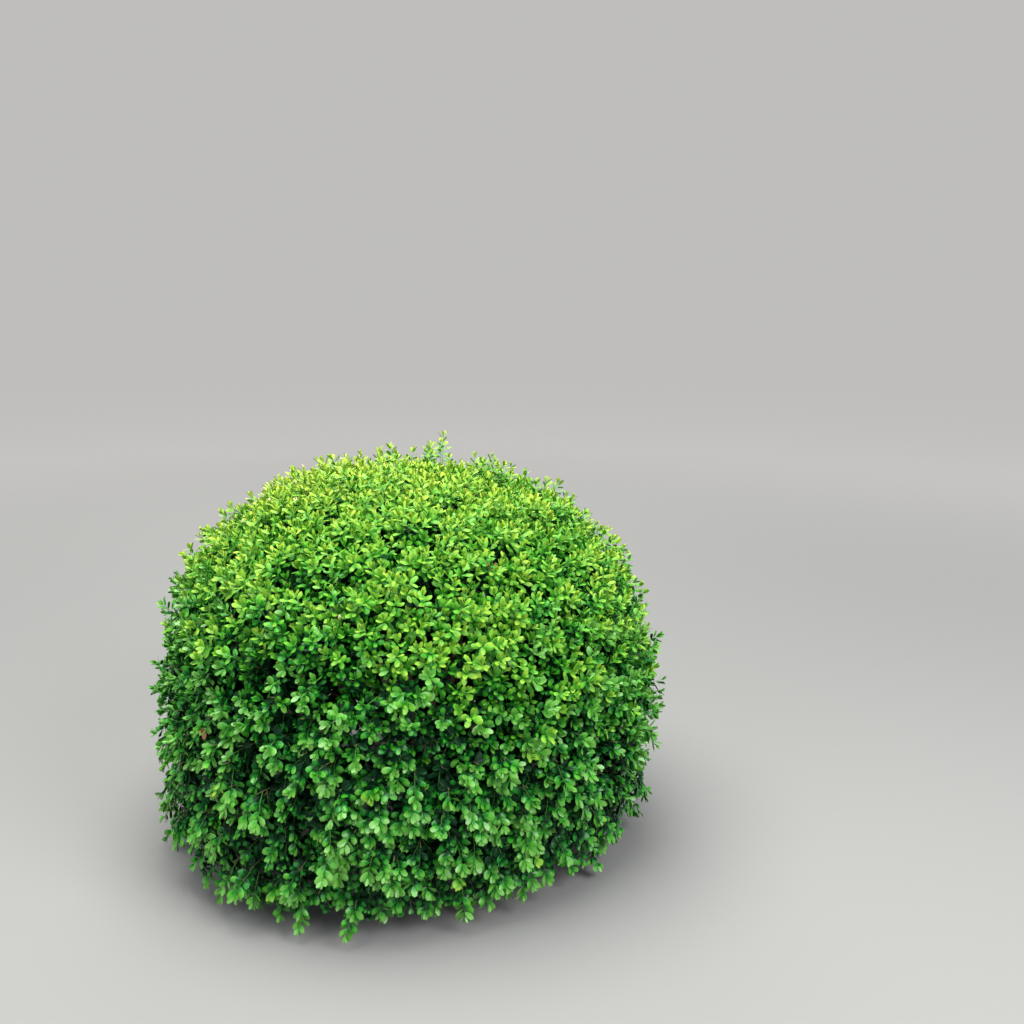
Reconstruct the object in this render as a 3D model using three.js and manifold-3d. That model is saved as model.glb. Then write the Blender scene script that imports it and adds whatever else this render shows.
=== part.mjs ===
// Box topiary ball: an evergreen box shrub clipped to a broad, slightly flattened ball, rooted in the ground.
// A short flared stem forks low down. Thirteen boughs rise from the fork through the bare heart of the bush,
// and each one carries a mass of the dense leafy shell: one at the top, five round the shoulder, seven in the skirt.
// Millimetres, +Z up. The origin is the middle of the flat cut under the stem, at ground level. The front is -Y.

import * as THREE from 'three';
import { ConvexGeometry } from 'three/addons/geometries/ConvexGeometry.js';
import { mergeVertices } from 'three/addons/utils/BufferGeometryUtils.js';
import Module from 'manifold-3d';

const wasm = await Module();
wasm.setup();

// The clipped outline is a squarish ellipsoid about the heart, which stands a third of its height above the ground.
const CROWN = {
  radius: 615, // from the axis to the leaf tips at the widest girth
  rise: 606, // from the heart up to the topmost leaf tips
  heart: 300, // height of the heart, which is the widest girth
  fullness: 2.35, // 2 is a true ellipse, and more is squarer
};
const LEAF_DEPTH = 70; // how far the leaves stand out of the dense core
const HOLLOW_SHARE = 0.6; // the bare heart of the bush, as a share of the outline
const HEM_HEIGHT = 24; // lowest edge of the core above the ground
const CORE_STEP = 9; // size of the core's outer facets, in degrees
const SEAM_SWING = 5; // how far the seams between the masses wander to either side, in degrees
const GROUND_CLEARANCE = 4; // lowest leaf tip above the ground
const MASS_GAP = 5; // between the cores of neighbouring masses of foliage
const JOINT_GAP = 0.3; // between a limb and what carries it
const SEED = 20;

// Swells and dips left by hand clipping. Angles in degrees: turn from +X towards +Y, tilt down from the top.
const SWELLS = [
  { turn: 165, tilt: 40, reach: 24, height: 22 },
  { turn: 35, tilt: 40, reach: 22, height: 10 },
  { turn: -20, tilt: 84, reach: 20, height: 10 },
  { turn: -95, tilt: 116, reach: 40, height: 26 },
  { turn: 100, tilt: 70, reach: 30, height: 10 },
];

const STEM = { height: 150, footRadius: 37, topRadius: 30, flare: 26, flareHeight: 26, lobes: 5, lean: 5 };

// Each tier of the crown, from tilt to tilt in degrees down from the top, and the boughs that carry it.
const TIERS = [
  { name: 'top', from: 0, to: 30, masses: 1, turn: -90, sprays: 5, fillers: 18, leave: 140, root: 15, tip: 8 },
  { name: 'shoulder', from: 30, to: 68, masses: 5, turn: -90, sprays: 4, fillers: 13, leave: 122, root: 12, tip: 7 },
  { name: 'skirt', from: 68, to: 120, masses: 7, turn: -76, sprays: 4, fillers: 14, leave: 84, root: 10, tip: 6 },
];

// A leaf is blunt and widest past its middle, with a flat underside and a low ridge above, at its waist.
// Its root is sunk past the middle of the twig.
const LEAF = { length: 108, width: 64, thickness: 3.6, waist: 0.56, tipAt: 0.97, tipWidth: 28, sunk: 2 };
const LEAF_SIZES = [1, 0.8, 0.62]; // the largest that fits is used, as a share of the size of the spray
// A spray has a three-sided twig with its leaves in a close spiral, one to a side, and a small leaf at the end.
const TWIG = { root: 6.5, tip: 4, sides: 3, buried: 24 };
const SPIRAL = { leaves: 5, first: 3, step: 4.5, lowSpread: 78, highSpread: 58, swing: 20 };
const END_LEAF = { size: 0.5, sunk: 3 };
// Between the sprays, single leaves stand out of the core, each on the end of a twig that is hidden in it.
const FILLER = { sunk: 14, steep: 48, flat: 74, tries: 70 };
// Long shoots have grown on since the last clipping, and stand out of the outline by their height. Angles in degrees.
const LONG_SHOOTS = [
  { mass: 'top', tilt: 10, turn: 58, height: 50 },
  { mass: 'top', tilt: 19, turn: 24, height: 16 },
  { mass: 'top', tilt: 6, turn: 150, height: 26 },
];
const SHOOT_LEAF = { size: 0.44, spread: 42, endSize: 0.3, leaves: 6, lowest: 44, step: 9 };

const UP = new THREE.Vector3(0, 0, 1);
const HEART = new THREE.Vector3(0, 0, CROWN.heart);
const radians = THREE.MathUtils.degToRad;

// A small seeded generator, so that the bush is the same each time.
function seeded(seed) {
  let state = seed >>> 0;
  return () => {
    state = (state + 0x6d2b79f5) >>> 0;
    let mixed = Math.imul(state ^ (state >>> 15), 1 | state);
    mixed = (mixed + Math.imul(mixed ^ (mixed >>> 7), 61 | mixed)) ^ mixed;
    return ((mixed ^ (mixed >>> 14)) >>> 0) / 4294967296;
  };
}
const random = seeded(SEED);
const between = (low, high) => low + (high - low) * random();

function direction(tilt, turn) {
  return new THREE.Vector3(Math.sin(tilt) * Math.cos(turn), Math.sin(tilt) * Math.sin(turn), Math.cos(tilt));
}

// How far the clipped outline lies from the heart, in a direction given by its tilt and turn in radians.
function outline(tilt, turn) {
  const across = Math.abs(Math.sin(tilt)) / CROWN.radius;
  const along = Math.abs(Math.cos(tilt)) / CROWN.rise;
  const power = CROWN.fullness;
  let reach = (across ** power + along ** power) ** (-1 / power);
  const way = direction(tilt, turn);
  for (const swell of SWELLS) {
    const apart = way.angleTo(direction(radians(swell.tilt), radians(swell.turn)));
    reach += swell.height * Math.exp(-((apart / radians(swell.reach)) ** 2));
  }
  return reach;
}

// A closed mesh as a solid: equal corners are merged, and triangles that collapse in that are dropped.
function solidOf(geometry) {
  const bare = geometry.index ? geometry.toNonIndexed() : geometry.clone();
  bare.deleteAttribute('normal');
  bare.deleteAttribute('uv');
  const merged = mergeVertices(bare, 1e-4);
  const corners = merged.index.array;
  const kept = [];
  for (let i = 0; i < corners.length; i += 3) {
    const [a, b, c] = [corners[i], corners[i + 1], corners[i + 2]];
    if (a !== b && b !== c && c !== a) kept.push(a, b, c);
  }
  const vertProperties = merged.attributes.position.array;
  return new wasm.Manifold(new wasm.Mesh({ numProp: 3, vertProperties, triVerts: new Uint32Array(kept) }));
}

// The largest closed body of a solid, without loose scraps or sealed bubbles, as a geometry.
function geometryOf(solid) {
  const bodies = solid.decompose();
  const largest = bodies.reduce((best, body) => (body.volume() > best.volume() ? body : best));
  const mesh = largest.getMesh();
  const geometry = new THREE.BufferGeometry();
  geometry.setAttribute('position', new THREE.BufferAttribute(mesh.vertProperties, 3));
  geometry.setIndex(new THREE.BufferAttribute(mesh.triVerts, 1));
  const flat = geometry.toNonIndexed();
  flat.computeVertexNormals();
  return flat;
}

// Moves every corner of a geometry to where place() says.
function reshaped(geometry, place) {
  const position = geometry.attributes.position;
  const corner = new THREE.Vector3();
  for (let i = 0; i < position.count; i++) {
    corner.fromBufferAttribute(position, i);
    const moved = place(corner);
    position.setXYZ(i, moved.x, moved.y, moved.z);
  }
  return geometry;
}

// A limb with flat ends that tapers from root to tip along a curve. One of its edges faces towards side.
function limb(curve, side, rootRadius, tipRadius, sides, steps) {
  const straight = new THREE.CylinderGeometry(tipRadius, rootRadius, 1, sides, steps);
  return solidOf(
    reshaped(straight, (corner) => {
      const share = Math.round((corner.y + 0.5) * steps) / steps;
      const along = curve.getTangent(share);
      const edge = side.clone().addScaledVector(along, -side.dot(along)).normalize();
      const across = along.clone().cross(edge);
      return curve.getPoint(share).addScaledVector(edge, corner.z).addScaledVector(across, corner.x);
    }),
  );
}

// The main stem, from its flat cut at ground level to the top of the fork. extra is a skin all over it.
function stem(extra = 0) {
  const sides = 15;
  const steps = 7;
  const straight = new THREE.CylinderGeometry(1, 1, 1, sides, steps);
  straight.rotateX(Math.PI / 2);
  return solidOf(
    reshaped(straight, (corner) => {
      const share = corner.z + 0.5;
      const height = share * (STEM.height + extra);
      const turn = Math.atan2(corner.y, corner.x);
      const buttress = 1 + 0.35 * Math.cos(STEM.lobes * turn);
      const flare = STEM.flare * Math.exp(-height / STEM.flareHeight) * buttress;
      const radius = THREE.MathUtils.lerp(STEM.footRadius, STEM.topRadius, share) + flare + extra;
      const reach = Math.hypot(corner.x, corner.y) * radius;
      const lean = STEM.lean * share;
      return new THREE.Vector3(lean + reach * Math.cos(turn), reach * Math.sin(turn), height);
    }),
  );
}

// The space of one mass of foliage: a sector of its tier, in radians.
function spaceOf(tier, index) {
  const width = (2 * Math.PI) / tier.masses;
  const middle = radians(tier.turn) + index * width;
  return {
    name: tier.masses > 1 ? `${tier.name}_${index + 1}` : tier.name,
    whole: tier.masses === 1,
    low: radians(tier.from),
    high: radians(tier.to),
    left: middle - width / 2,
    right: middle + width / 2,
    middleTurn: middle,
  };
}

// The seams between masses wander: a level seam up and down with the turn, an upright one to and fro with the tilt.
const levelSeam = (tilt, turn) => tilt + radians(SEAM_SWING) * Math.sin(4 * turn + 5 * tilt);
const uprightSeam = (turn, tilt) => turn + radians(SEAM_SWING) * Math.sin(3 * tilt + 3 * turn);

// True if a point keeps to the space: inside its sector and the clipped outline, and above the ground.
function keepsTo(space, point) {
  if (point.z < GROUND_CLEARANCE) return false;
  const arm = point.clone().sub(HEART);
  const distance = arm.length();
  const tilt = arm.angleTo(UP);
  const turn = Math.atan2(arm.y, arm.x);
  if (distance > outline(tilt, turn)) return false;
  const margin = MASS_GAP / distance;
  if (tilt > levelSeam(space.high, turn) - margin) return false;
  if (space.whole) return true;
  if (tilt < levelSeam(space.low, turn) + margin) return false;
  const left = uprightSeam(space.left, tilt);
  const right = uprightSeam(space.right, tilt);
  const pastLeft = THREE.MathUtils.euclideanModulo(turn - left, 2 * Math.PI);
  const sideMargin = margin / Math.max(Math.sin(tilt), 0.05);
  return pastLeft > sideMargin && pastLeft < right - left - sideMargin;
}

// The tilt at which a shell at this share of the outline, less a depth, comes down to the hem.
function hemTilt(turn, share, depth) {
  const drop = CROWN.heart - HEM_HEIGHT;
  let tilt = Math.PI / 2;
  for (let pass = 0; pass < 30; pass++) {
    tilt = Math.acos(THREE.MathUtils.clamp(-drop / (outline(tilt, turn) * share - depth), -0.95, 0));
  }
  return tilt;
}

const at = (tilt, turn, reach) => HEART.clone().addScaledVector(direction(tilt, turn), reach);

// The bare heart of the bush, inside every core: the outline drawn in to its share.
function hollow() {
  return solidOf(
    reshaped(new THREE.SphereGeometry(1, 20, 10), (corner) => {
      const tilt = Math.acos(THREE.MathUtils.clamp(corner.y, -1, 1));
      const turn = Math.atan2(-corner.z, corner.x);
      return at(tilt, turn, outline(tilt, turn) * HOLLOW_SHARE);
    }),
  );
}

// The dense core of a mass: a block of the shell between the leaves and the bare heart.
function core(space) {
  const inner = CROWN.radius * HOLLOW_SHARE - 40;
  const outerAt = (tilt, turn) => outline(tilt, turn) - LEAF_DEPTH + humps(tilt, turn);
  if (space.whole) {
    const rings = Math.round(space.high / radians(CORE_STEP));
    const profile = [];
    for (let i = 0; i <= rings; i++) profile.push(new THREE.Vector2(i / rings, 1));
    for (let i = 1; i >= 0; i--) profile.push(new THREE.Vector2(i, 0));
    const dome = new THREE.LatheGeometry(profile.reverse(), 20);
    const block = reshaped(dome, (corner) => {
      const turn = -Math.atan2(corner.z, corner.x);
      const rim = levelSeam(space.high, turn) - MASS_GAP / 2 / inner;
      const tilt = Math.hypot(corner.x, corner.z) * rim;
      return at(tilt, turn, corner.y > 0.5 ? outerAt(tilt, turn) : inner);
    });
    return solidOf(block).subtract(hollow());
  }
  const acrossSteps = Math.round((space.right - space.left) / radians(CORE_STEP));
  const downSteps = Math.round((space.high - space.low) / radians(CORE_STEP));
  const margin = MASS_GAP / 2 / inner;
  const sideMargin = margin / Math.sin(space.low);
  const block = reshaped(new THREE.BoxGeometry(1, 1, 1, acrossSteps, downSteps, 1), (corner) => {
    let tilt = (space.low + space.high) / 2;
    let turn = 0;
    for (let pass = 0; pass < 8; pass++) {
      const left = uprightSeam(space.left, tilt) + sideMargin;
      turn = THREE.MathUtils.lerp(left, uprightSeam(space.right, tilt) - sideMargin, corner.x + 0.5);
      const bottom = Math.min(levelSeam(space.high, turn) - margin, hemTilt(turn, 1, LEAF_DEPTH));
      tilt = THREE.MathUtils.lerp(bottom, levelSeam(space.low, turn) + margin, corner.y + 0.5);
    }
    return at(tilt, turn, corner.z > 0 ? outerAt(tilt, turn) : inner);
  });
  return solidOf(block).subtract(hollow());
}

// Humps on the core, where the clipped shoots stand thickest: broad ones, and a finer unevenness on them.
// They fade out towards the top point, where every turn meets.
function humps(tilt, turn) {
  const broad = 10 * Math.sin(9 * tilt + 1) * Math.sin(7 * turn) + 6 * Math.sin(13 * turn + 7 * tilt);
  const fine = 9 * Math.sin(24 * tilt + 2) * Math.sin(21 * turn + 1);
  return (broad + fine) * Math.min(1, 3 * Math.sin(tilt));
}

// The corners of one leaf. It points from its root towards way, and its ridge is on the side of face.
function leafCorners(root, way, face, size) {
  const upper = face.clone().addScaledVector(way, -face.dot(way)).normalize();
  const aside = way.clone().cross(upper);
  const at = (along, across) => root.clone().addScaledVector(way, along * size).addScaledVector(aside, across * size);
  const corners = [root.clone(), at(LEAF.waist * LEAF.length, 0).addScaledVector(upper, LEAF.thickness)];
  for (const half of [-0.5, 0.5]) {
    corners.push(at(LEAF.waist * LEAF.length, half * LEAF.width));
    corners.push(at(LEAF.tipAt * LEAF.length, half * LEAF.tipWidth));
  }
  return corners;
}

// The corners of the largest leaf here that keeps to the space, or nothing if even the smallest would leave it.
function fittingLeaf(space, root, way, face, size) {
  const tries = LEAF_SIZES.map((share) => leafCorners(root, way, face, size * share));
  return tries.find((corners) => corners.every((corner) => keepsTo(space, corner)));
}

// A single leaf out of the core, in the barest spot of the mass: where its middle is furthest from the other leaves.
function filler(space, middles) {
  let best = null;
  for (let attempt = 0; attempt < FILLER.tries; attempt++) {
    const lowest = Math.min(space.high, radians(115));
    const tilt = Math.acos(between(Math.cos(lowest), Math.cos(space.low)));
    const turn = between(space.left, space.right);
    const outwards = direction(tilt, turn);
    const spread = radians(between(FILLER.steep, FILLER.flat));
    const aside = new THREE.Vector3().crossVectors(outwards, direction(tilt + 1, turn)).normalize();
    aside.applyAxisAngle(outwards, between(0, 2 * Math.PI));
    const way = outwards.clone().multiplyScalar(Math.cos(spread)).addScaledVector(aside, Math.sin(spread));
    const skin = at(tilt, turn, outline(tilt, turn) - LEAF_DEPTH + humps(tilt, turn));
    const root = skin.addScaledVector(way, -FILLER.sunk);
    const corners = fittingLeaf(space, root, way, outwards, between(0.9, 1.1));
    if (!corners) continue;
    const room = middles.reduce((least, middle) => Math.min(least, middle.distanceTo(corners[1])), Infinity);
    const worth = room * corners[0].distanceTo(corners[1]);
    if (!best || worth > best.worth) best = { root, corners, worth };
  }
  return best;
}

// A spray of leaves on the core. It is turned about its own line until most of its leaves keep to the space.
function spray(space, tilt, turn) {
  const outwards = direction(tilt, turn);
  const lean = tilt < Math.PI / 2 ? 0.2 : -0.3;
  const jitter = new THREE.Vector3(between(-0.12, 0.12), between(-0.12, 0.12), between(-0.12, 0.12));
  const axis = outwards.clone().addScaledVector(UP, lean * Math.sin(tilt)).add(jitter).normalize();
  const depth = LEAF_DEPTH - humps(tilt, turn);
  const foot = HEART.clone().addScaledVector(outwards, outline(tilt, turn) - depth);
  const size = between(0.92, 1.04);
  const length = depth - END_LEAF.size * size * LEAF.length + END_LEAF.sunk - 2;
  const firstSpin = between(0, 2 * Math.PI);

  const leavesTurned = (edge) => {
    const leaves = [];
    for (let i = 0; i < SPIRAL.leaves; i++) {
      const round = i < TWIG.sides ? -SPIRAL.swing : SPIRAL.swing;
      const side = edge.clone().applyAxisAngle(axis, radians(60 + 120 * i + round));
      const spread = radians(THREE.MathUtils.lerp(SPIRAL.lowSpread, SPIRAL.highSpread, i / (SPIRAL.leaves - 1)));
      const way = axis.clone().multiplyScalar(Math.cos(spread)).addScaledVector(side, Math.sin(spread));
      const root = foot.clone().addScaledVector(axis, SPIRAL.first + i * SPIRAL.step);
      leaves.push(fittingLeaf(space, root.addScaledVector(way, -LEAF.sunk), way, axis, size));
    }
    const end = foot.clone().addScaledVector(axis, length - END_LEAF.sunk);
    leaves.push(fittingLeaf(space, end, axis, edge, END_LEAF.size * size));
    return leaves.filter((corners) => corners);
  };
  const spanOf = (leaves) => leaves.reduce((sum, corners) => sum + corners[0].distanceTo(corners[1]), 0);
  let best = null;
  for (let attempt = 0; attempt < 6; attempt++) {
    const edge = new THREE.Vector3().crossVectors(axis, direction(tilt + 1, turn)).normalize();
    edge.applyAxisAngle(axis, firstSpin + attempt);
    const leaves = leavesTurned(edge);
    if (!best || spanOf(leaves) > spanOf(best.leaves)) best = { edge, leaves };
  }
  const elbow = foot.clone().addScaledVector(axis, -TWIG.buried);
  const line = new THREE.LineCurve3(elbow, foot.clone().addScaledVector(axis, length));
  const twig = limb(line, best.edge, TWIG.root, TWIG.tip, TWIG.sides, 1);
  const blades = best.leaves.map((corners) => solidOf(new ConvexGeometry(corners)));
  return { elbow, pieces: [twig, ...blades], middles: best.leaves.map((corners) => corners[1]) };
}

// A long shoot: a straight twig out of the core, with its small leaves in a spiral and an upright one at the end.
function longShoot({ tilt, turn, height }) {
  const [down, round] = [radians(tilt), radians(turn)];
  const axis = direction(down, round);
  const depth = LEAF_DEPTH - humps(down, round);
  const foot = at(down, round, outline(down, round) - depth);
  const length = depth + height - SHOOT_LEAF.endSize * LEAF.length + END_LEAF.sunk;
  const elbow = foot.clone().addScaledVector(axis, -TWIG.buried);
  const edge = new THREE.Vector3().crossVectors(axis, direction(down + 1, round)).normalize();
  const line = new THREE.LineCurve3(elbow, foot.clone().addScaledVector(axis, length));
  const pieces = [limb(line, edge, TWIG.root, TWIG.tip, TWIG.sides, 1)];
  for (let i = 0; i < SHOOT_LEAF.leaves; i++) {
    const side = edge.clone().applyAxisAngle(axis, radians(60 + 120 * i));
    const spread = radians(SHOOT_LEAF.spread);
    const way = axis.clone().multiplyScalar(Math.cos(spread)).addScaledVector(side, Math.sin(spread));
    const root = foot.clone().addScaledVector(axis, SHOOT_LEAF.lowest + i * SHOOT_LEAF.step);
    const corners = leafCorners(root.addScaledVector(way, -LEAF.sunk), way, axis, SHOOT_LEAF.size);
    pieces.push(solidOf(new ConvexGeometry(corners)));
  }
  const end = foot.clone().addScaledVector(axis, length - END_LEAF.sunk);
  pieces.push(solidOf(new ConvexGeometry(leafCorners(end, axis, edge, SHOOT_LEAF.endSize))));
  return { elbow, pieces };
}

// Evenly spread places for the sprays of a mass: each is the best of many tries, by its distance to the rest.
function placesIn(space, count) {
  const places = [];
  const edge = (0.42 * LEAF.length) / CROWN.radius;
  while (places.length < count) {
    let best = null;
    for (let attempt = 0; attempt < 80; attempt++) {
      const highest = space.whole ? 0 : space.low + edge;
      const lowest = Math.min(space.high - edge, radians(112.5));
      const tilt = Math.acos(between(Math.cos(lowest), Math.cos(highest)));
      const inset = space.whole ? 0 : edge / Math.sin(tilt);
      const turn = between(space.left + inset, space.right - inset);
      const way = direction(tilt, turn);
      const room = places.reduce((least, place) => Math.min(least, way.angleTo(place.way)), Infinity);
      if (!best || room > best.room) best = { tilt, turn, way, room };
    }
    places.push(best);
  }
  return places;
}

// A mass of foliage: a stem that meets its bough's tip, branches from it to each spray, and the dense core.
function foliage(space, tier, root, inwards) {
  const middle = root.clone().addScaledVector(inwards, 0.22 * CROWN.radius);
  const side = new THREE.Vector3(-Math.sin(space.middleTurn), Math.cos(space.middleTurn), 0);
  const pieces = [core(space), limb(new THREE.LineCurve3(root, middle), side, tier.tip, 0.8 * tier.tip, 6, 1)];
  const branchTo = (end) => limb(new THREE.LineCurve3(middle, end), side, 0.7 * tier.tip, TWIG.tip, TWIG.sides, 1);
  const middles = [];
  for (const { tilt, turn } of placesIn(space, tier.sprays)) {
    const shoot = spray(space, tilt, turn);
    pieces.push(branchTo(shoot.elbow), ...shoot.pieces);
    middles.push(...shoot.middles);
  }
  for (const grown of LONG_SHOOTS.filter((shoot) => shoot.mass === space.name)) {
    const shoot = longShoot(grown);
    pieces.push(branchTo(shoot.elbow), ...shoot.pieces);
  }
  for (let i = 0; i < tier.fillers; i++) {
    const single = filler(space, middles);
    const end = single.root.clone().addScaledVector(single.root.clone().sub(HEART).normalize(), -8);
    pieces.push(branchTo(end), solidOf(new ConvexGeometry(single.corners)));
    middles.push(single.corners[1]);
  }
  return wasm.Manifold.union(pieces);
}

// A bough: from inside the stem's head out to the inner face of its mass, less a skin round the stem.
function bough(space, tier, tip, outwards) {
  const away = new THREE.Vector3(Math.cos(space.middleTurn), Math.sin(space.middleTurn), 0);
  const side = new THREE.Vector3(-away.y, away.x, 0);
  const share = tier.leave / STEM.height;
  const start = new THREE.Vector3(STEM.lean * share, 0, tier.leave);
  const reach = tip.distanceTo(start);
  const rise = space.whole ? UP.clone() : away.multiplyScalar(0.7).addScaledVector(UP, 0.45).normalize();
  const curve = new THREE.CubicBezierCurve3(
    start,
    start.clone().addScaledVector(rise, 0.4 * reach),
    tip.clone().addScaledVector(outwards, -0.35 * reach),
    tip,
  );
  return limb(curve, side, tier.root, tier.tip, 6, 5).subtract(stem(JOINT_GAP));
}

const bark = new THREE.MeshStandardMaterial({ color: 0x6f5f4c, roughness: 0.9, metalness: 0 });
const leafColours = { top: 0x8cc63c, shoulder: 0x5fa832, skirt: 0x3a8a34 };

const plant = new THREE.Group();
function add(name, solid, material) {
  const mesh = new THREE.Mesh(geometryOf(solid), material);
  mesh.name = name;
  plant.add(mesh);
}

add('main_stem', stem(), bark);
for (const tier of TIERS) {
  const green = new THREE.MeshStandardMaterial({ color: leafColours[tier.name], roughness: 0.5, metalness: 0 });
  for (let index = 0; index < tier.masses; index++) {
    const space = spaceOf(tier, index);
    const bottom = Math.min(space.high, radians(116));
    const tilt = space.whole ? 0 : (space.low + bottom) / 2;
    const outwards = direction(tilt, space.middleTurn);
    const entry = outline(tilt, space.middleTurn) * HOLLOW_SHARE - 22;
    const tip = HEART.clone().addScaledVector(outwards, entry);
    const root = tip.clone().addScaledVector(outwards, JOINT_GAP);
    const mass = foliage(space, tier, root, outwards);
    add(`bough_${space.name}`, bough(space, tier, tip, outwards), bark);
    add(`foliage_${space.name}`, mass, green);
  }
}

export default plant;
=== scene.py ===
# Box topiary ball: an evergreen box shrub clipped to a broad, slightly flattened ball, rooted in the ground.
# Metres, +Z up. The origin is the middle of the stem's foot at ground level, and the front of the bush is -Y.

import math

import bpy
import numpy as np
from mathutils import Matrix, Vector


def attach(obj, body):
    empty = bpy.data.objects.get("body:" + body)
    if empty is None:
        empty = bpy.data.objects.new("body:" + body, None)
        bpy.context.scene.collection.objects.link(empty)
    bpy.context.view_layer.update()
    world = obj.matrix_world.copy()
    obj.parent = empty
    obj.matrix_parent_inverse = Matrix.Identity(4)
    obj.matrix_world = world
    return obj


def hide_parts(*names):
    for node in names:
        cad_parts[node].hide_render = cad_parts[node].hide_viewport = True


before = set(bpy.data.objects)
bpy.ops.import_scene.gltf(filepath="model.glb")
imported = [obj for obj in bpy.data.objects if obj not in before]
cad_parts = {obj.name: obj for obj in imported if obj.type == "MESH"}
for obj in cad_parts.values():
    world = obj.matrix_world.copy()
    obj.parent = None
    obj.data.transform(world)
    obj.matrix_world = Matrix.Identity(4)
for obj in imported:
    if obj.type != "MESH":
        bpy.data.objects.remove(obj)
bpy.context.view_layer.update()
chance = np.random.default_rng(20)

# The main stem: one short trunk of dense yellow wood in thin, corky, pale grey-brown bark.
# It swells into five root buttresses where it meets the soil, and leans a little to the right.
# Its rings are pushed up from a disc at the foot, and a cloudy pattern pushes its surface in and out.
# The bark's fissures are drawn by its material, with a bump.
STEM_HEIGHT = 0.150
STEM_FOOT_RADIUS = 0.037
STEM_TOP_RADIUS = 0.030
STEM_LEAN = 0.005
STEM_SIDES = 40
STEM_RINGS = [0.008, 0.018, 0.032, 0.052, 0.078, 0.104, 0.128, 0.144]
FLARE = 0.026
FLARE_HEIGHT = 0.026
FLARED_RINGS = 4
BUTTRESSES = 5
BUTTRESS_SHARE = 0.35
LOBE_EDGE = 0.35
STEM_RELIEF = 0.004
STEM_RELIEF_SIZE = 0.016
STEM_FISSURE_SCALE = 70
STEM_FISSURE_DEPTH = 0.002
BARK_PALE = (0.40, 0.34, 0.26, 1)
BARK_DARK = (0.12, 0.095, 0.07, 1)
# In the bark's pattern the fissures are the edges of long cells, frayed by a fine grain.
FISSURE_STRETCH = (1, 1, 0.35)
FISSURE_WIDTH = 0.22
FISSURE_ROUGHNESS = 0.98
RIDGE_ROUGHNESS = 0.78
GRAIN_SCALE = 420
GRAIN_DETAIL = 6
GRAIN_SHARE = 0.55
PALE_HEIGHT = 1.4


def stem_radius(height):
    taper = (STEM_TOP_RADIUS - STEM_FOOT_RADIUS) * (height / STEM_HEIGHT)
    return STEM_FOOT_RADIUS + taper + FLARE * math.exp(-height / FLARE_HEIGHT)


def fissure_group():
    """Corky bark: pale ridges over dark fissures that run lengthwise, with a fine grain on both."""
    group = bpy.data.node_groups.new("corky bark", "ShaderNodeTree")
    for name, kind, value in (
        ("Pale", "NodeSocketColor", BARK_PALE),
        ("Dark", "NodeSocketColor", BARK_DARK),
        ("Scale", "NodeSocketFloat", STEM_FISSURE_SCALE),
    ):
        socket = group.interface.new_socket(name=name, in_out="INPUT", socket_type=kind)
        socket.default_value = value
    for name, kind in (
        ("Colour", "NodeSocketColor"),
        ("Roughness", "NodeSocketFloat"),
        ("Height", "NodeSocketFloat"),
    ):
        group.interface.new_socket(name=name, in_out="OUTPUT", socket_type=kind)
    node, link = group.nodes.new, group.links.new
    inputs = node("NodeGroupInput")
    outputs = node("NodeGroupOutput")
    place = node("ShaderNodeTexCoord")
    stretch = node("ShaderNodeMapping")
    stretch.inputs["Scale"].default_value = FISSURE_STRETCH
    link(place.outputs["Object"], stretch.inputs["Vector"])
    ridges = node("ShaderNodeTexVoronoi")
    ridges.feature = "DISTANCE_TO_EDGE"
    ridges.inputs["Randomness"].default_value = 1
    link(stretch.outputs["Vector"], ridges.inputs["Vector"])
    link(inputs.outputs["Scale"], ridges.inputs["Scale"])
    fine = node("ShaderNodeTexNoise")
    fine.inputs["Scale"].default_value = GRAIN_SCALE
    fine.inputs["Detail"].default_value = GRAIN_DETAIL
    link(place.outputs["Object"], fine.inputs["Vector"])
    open_up = node("ShaderNodeMapRange")
    open_up.inputs["From Max"].default_value = FISSURE_WIDTH
    link(ridges.outputs["Distance"], open_up.inputs["Value"])
    worn = node("ShaderNodeMath")
    worn.operation = "MULTIPLY_ADD"
    worn.inputs[1].default_value = GRAIN_SHARE
    link(fine.outputs["Fac"], worn.inputs[0])
    link(open_up.outputs["Result"], worn.inputs[2])
    share = node("ShaderNodeMapRange")
    share.inputs["From Max"].default_value = PALE_HEIGHT
    link(worn.outputs["Value"], share.inputs["Value"])
    blend = node("ShaderNodeMix")
    blend.data_type = "RGBA"
    link(share.outputs["Result"], blend.inputs["Factor"])
    link(inputs.outputs["Dark"], blend.inputs["A"])
    link(inputs.outputs["Pale"], blend.inputs["B"])
    link(blend.outputs["Result"], outputs.inputs["Colour"])
    rough = node("ShaderNodeMapRange")
    rough.inputs["To Min"].default_value = FISSURE_ROUGHNESS
    rough.inputs["To Max"].default_value = RIDGE_ROUGHNESS
    link(share.outputs["Result"], rough.inputs["Value"])
    link(rough.outputs["Result"], outputs.inputs["Roughness"])
    link(share.outputs["Result"], outputs.inputs["Height"])
    return group


corky_bark = fissure_group()


def bark_material(name, pale, dark, scale, depth):
    material = bpy.data.materials.new(name)
    material.use_nodes = True
    nodes, link = material.node_tree.nodes, material.node_tree.links.new
    shader = nodes["Principled BSDF"]
    bark = nodes.new("ShaderNodeGroup")
    bark.node_tree = corky_bark
    bark.inputs["Pale"].default_value = pale
    bark.inputs["Dark"].default_value = dark
    bark.inputs["Scale"].default_value = scale
    bump = nodes.new("ShaderNodeBump")
    bump.inputs["Distance"].default_value = depth
    link(bark.outputs["Height"], bump.inputs["Height"])
    link(bark.outputs["Colour"], shader.inputs["Base Color"])
    link(bark.outputs["Roughness"], shader.inputs["Roughness"])
    link(bump.outputs["Normal"], shader.inputs["Normal"])
    return material


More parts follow.
